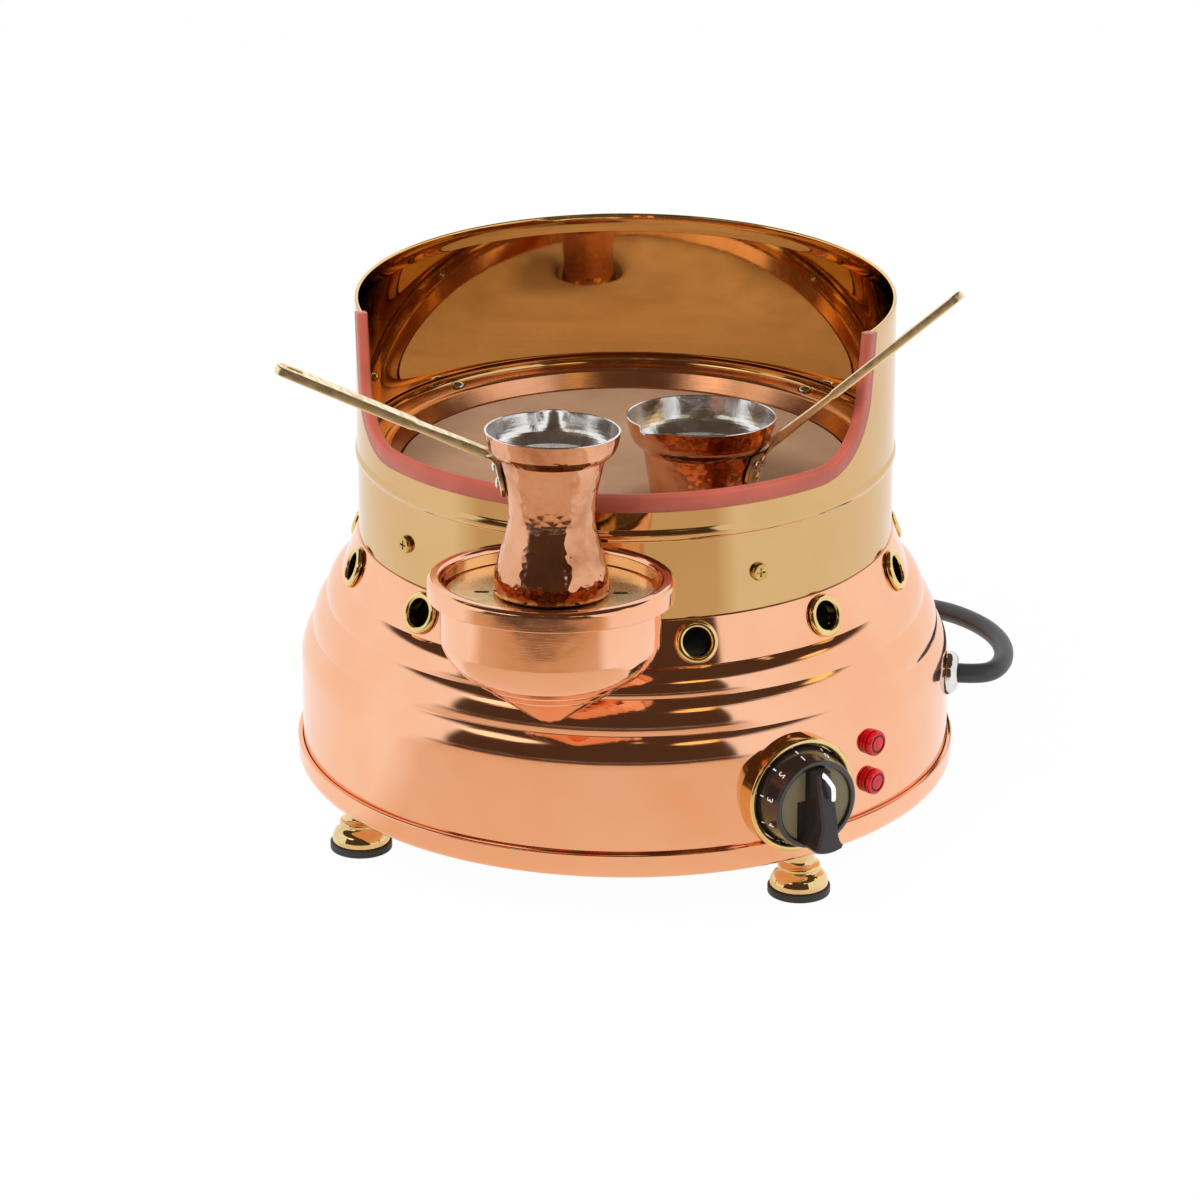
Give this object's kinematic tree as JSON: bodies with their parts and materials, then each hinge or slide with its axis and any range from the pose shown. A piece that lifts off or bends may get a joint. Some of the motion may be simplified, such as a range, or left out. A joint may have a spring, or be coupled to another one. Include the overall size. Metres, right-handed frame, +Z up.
{
  "type": "sand coffee heater",
  "caption": "Electric sand coffee heater: spun copper base, sand tray inside a brass windshield drum, a stand bowl at the front and two long-handled copper pots.",
  "frame": {"origin": "middle of the machine's footprint on the floor, its free power cord left out", "axes": "+Z up; -Y is the front, where the stand bowl is; +X is the right side, where the cord leaves"},
  "size_m": [0.4006, 0.6439, 0.3346],
  "materials": {
    "copper": "polished",
    "bare_copper": "dull",
    "hammered_copper": "hammered, polished, tinned inside",
    "polished_brass": "polished",
    "mirror_brass": "mirror polished",
    "satin_brass": "satin",
    "salmon_silicone": "satin",
    "sand": "matte grains",
    "steel": "zinc plated",
    "chrome": "polished",
    "black_rubber": "matte",
    "mineral_wool": "matte",
    "thermostat_case": "satin",
    "knob_black": "gloss",
    "knob_olive": "satin",
    "knob_white": "gloss",
    "red_lens": "clear tinted",
    "lamp_plastic": "matte",
    "porcelain": "glazed",
    "wire_sleeve": "matte",
    "tie_plastic": "matte",
    "pin_metal": "nickel plated"
  },
  "bodies": {
    "heater": {"base_pan": "copper", "outer_shell": "copper", "corner_brackets": "steel", "brass_feet": "polished_brass", "rubber_pads": "black_rubber", "foot_nuts": "steel", "vent_eyelets": "polished_brass", "windshield_drum": "mirror_brass", "windshield_trim": "salmon_silicone", "drum_screws": "polished_brass", "drum_nuts": "steel", "sand_tray": "copper", "tray_support_ring": "steel", "tray_screws": "chrome", "tray_nuts": "steel", "sand": "sand", "heating_element": "steel", "clamp_bar": "steel", "heater_stud": "steel", "insulation_disc": "mineral_wool", "heat_shield": "steel", "shield_posts": "steel", "thermostat_body": "thermostat_case", "thermostat_screws": "steel", "thermostat_bulb": "bare_copper", "knob_bezel": "polished_brass", "lamp_lenses": "red_lens", "lamp_bodies": "lamp_plastic", "lamp_nuts": "lamp_plastic", "stand_bowl": "copper", "bowl_bracket": "polished_brass", "bracket_bolts": "steel", "bowl_screws": "steel", "cord_gland": "chrome", "gland_nut": "chrome", "inner_cord": "black_rubber", "cord_clamp": "lamp_plastic", "terminal_block": "porcelain", "earth_stud": "polished_brass", "inner_wires": "wire_sleeve", "power_cord": "black_rubber", "cord_coil": "black_rubber", "coil_tie": "tie_plastic", "mains_plug": "black_rubber", "plug_pins": "pin_metal"},
    "dial": {"knob": "knob_black", "knob_inset": "knob_olive", "knob_pointer": "knob_white", "thermostat_shaft": "steel"},
    "plate": {"drip_plate": "satin_brass"},
    "front_pot": {"small_pot": "hammered_copper", "small_pot_handle": "satin_brass", "small_pot_rivets": "steel"},
    "sand_pot": {"large_pot": "hammered_copper", "large_pot_handle": "satin_brass", "large_pot_rivets": "steel"}
  },
  "joints": [
    {"name": "dial_turn", "type": "hinge", "parent": "heater", "child": "dial", "pos_m": [0.11219, -0.0909, 0.0695], "axis": [0.6455, -0.7638, 0], "range_deg": [-270, 0]},
    {"name": "plate_lift", "type": "slide", "parent": "heater", "child": "plate", "axis": [0, 0.061, 0.9981], "range_m": [0, 0.06]},
    {"name": "front_pot_lift", "type": "slide", "parent": "plate", "child": "front_pot", "axis": [0, 0.061, 0.9981], "range_m": [0, 0.13]},
    {"name": "sand_pot_lift", "type": "slide", "parent": "heater", "child": "sand_pot", "axis": [0, 0.0576, 0.9983], "range_m": [0, 0.15]}
  ]
}
